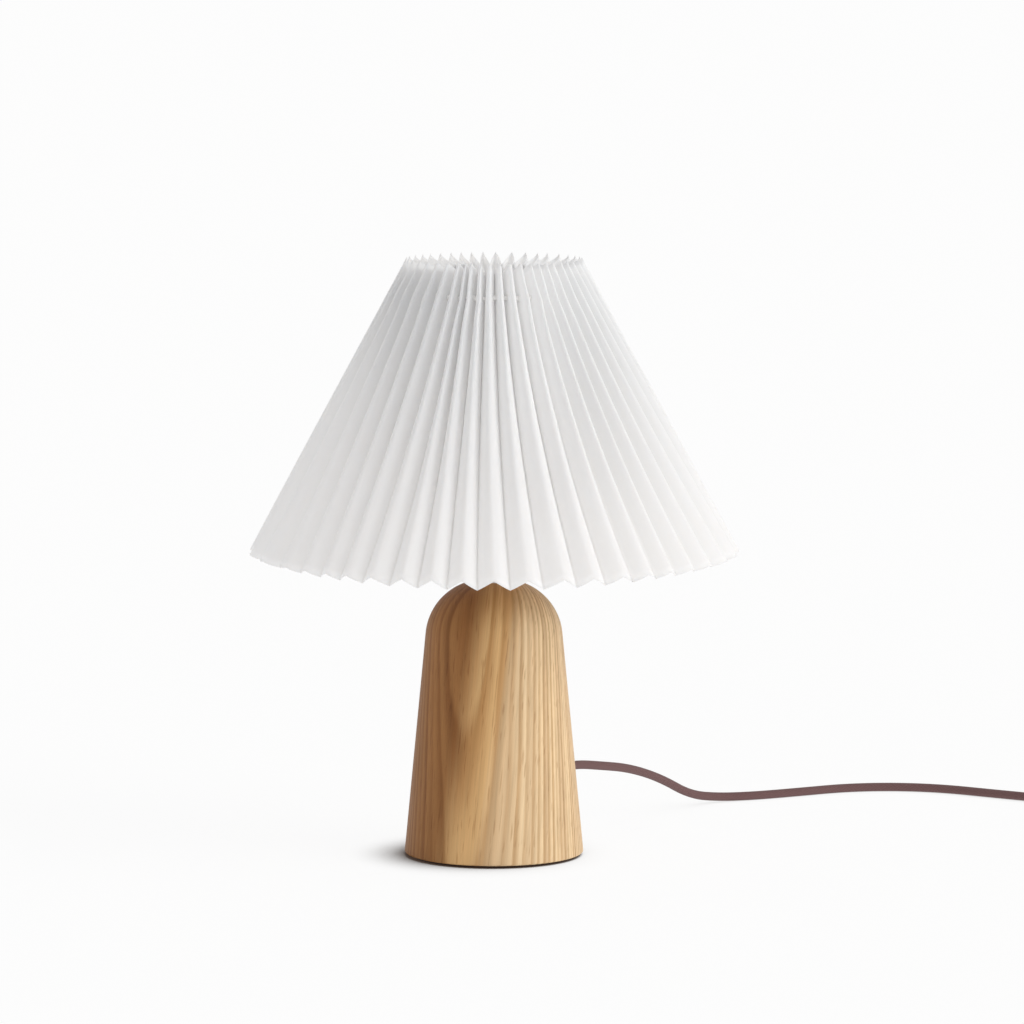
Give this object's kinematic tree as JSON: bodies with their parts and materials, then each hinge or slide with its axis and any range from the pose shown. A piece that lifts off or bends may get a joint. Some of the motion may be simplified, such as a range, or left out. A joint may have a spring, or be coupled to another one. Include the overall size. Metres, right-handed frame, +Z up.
{
  "type": "table lamp",
  "caption": "Pleated paper table lamp: cone shade with threaded folds on a wire carrier, turned wooden foot with domed crown, opal bulb, textile cord with rocker switch and plug.",
  "frame": {"origin": "centre of the foot's underside, on the table", "axes": "+Z up along the lamp's axis, -Y towards the viewer of the picture, +X to the viewer's right; the cord leaves the foot at 55 degrees from +X towards +Y"},
  "size_m": [0.6445, 0.3905, 0.367],
  "materials": {
    "light_wood": "oiled, matt",
    "shade_paper": "matt, uncoated",
    "white_thread": "matt",
    "dark_felt": "matt",
    "zinc_steel": "satin",
    "brass": "satin",
    "white_wire": "satin",
    "white_plastic": "satin",
    "ceramic_insert": "matt",
    "opal_glass": "opal, smooth",
    "nickel_cap": "satin",
    "black_vitrite": "gloss",
    "textile_cord": "braided, matt",
    "wire_insulation": "matt",
    "dark_plastic": "satin",
    "coil_strap": "hook and loop",
    "nickel_pins": "polished"
  },
  "bodies": {
    "base": {"wood_base": "light_wood", "felt_pad": "dark_felt", "base_plate": "zinc_steel", "plate_screws": "zinc_steel", "cord_bush": "dark_plastic", "inner_cord": "textile_cord", "cord_stop": "white_plastic", "stop_screws": "zinc_steel", "lamp_tube": "zinc_steel", "tube_washer": "zinc_steel", "tube_nut": "brass", "seat_washer": "brass", "holder_cap": "white_plastic", "holder_shell": "white_plastic", "holder_insert": "ceramic_insert", "terminal_screws": "brass", "centre_contact": "brass", "side_contact": "brass", "core_wires": "wire_insulation", "shade_ring": "white_plastic", "carrier_gallery": "white_wire", "carrier_ring": "white_wire", "carrier_arms": "white_wire", "cord_run": "textile_cord", "cord_lead": "textile_cord", "cord_coil": "textile_cord", "cord_end": "textile_cord", "coil_tie": "coil_strap", "switch_base": "dark_plastic", "switch_cover": "dark_plastic", "switch_screws": "zinc_steel", "terminal_blocks": "white_plastic", "rocker_pin": "zinc_steel", "rocker_cradle": "white_plastic", "switch_contacts": "brass", "plug_body": "dark_plastic", "plug_pins": "nickel_pins", "pin_sleeves": "dark_plastic"},
    "shade": {"shade_paper": "shade_paper", "shade_thread": "white_thread"},
    "bulb": {"bulb_globe": "opal_glass", "bulb_cap": "nickel_cap", "bulb_insulator": "black_vitrite", "bulb_contact": "brass"},
    "rocker": {"switch_rocker": "dark_plastic"}
  },
  "joints": [
    {"name": "shade_lift", "type": "slide", "parent": "base", "child": "shade", "axis": [0, 0, 1], "range_m": [0, 0.165]},
    {"name": "bulb_lift", "type": "slide", "parent": "base", "child": "bulb", "axis": [0, 0, 1], "range_m": [0, 0.155]},
    {"name": "rocker_tilt", "type": "hinge", "parent": "base", "child": "rocker", "pos_m": [0.396, 0.092, 0.0145], "axis": [1, 0, 0], "range_deg": [0, 18]}
  ]
}
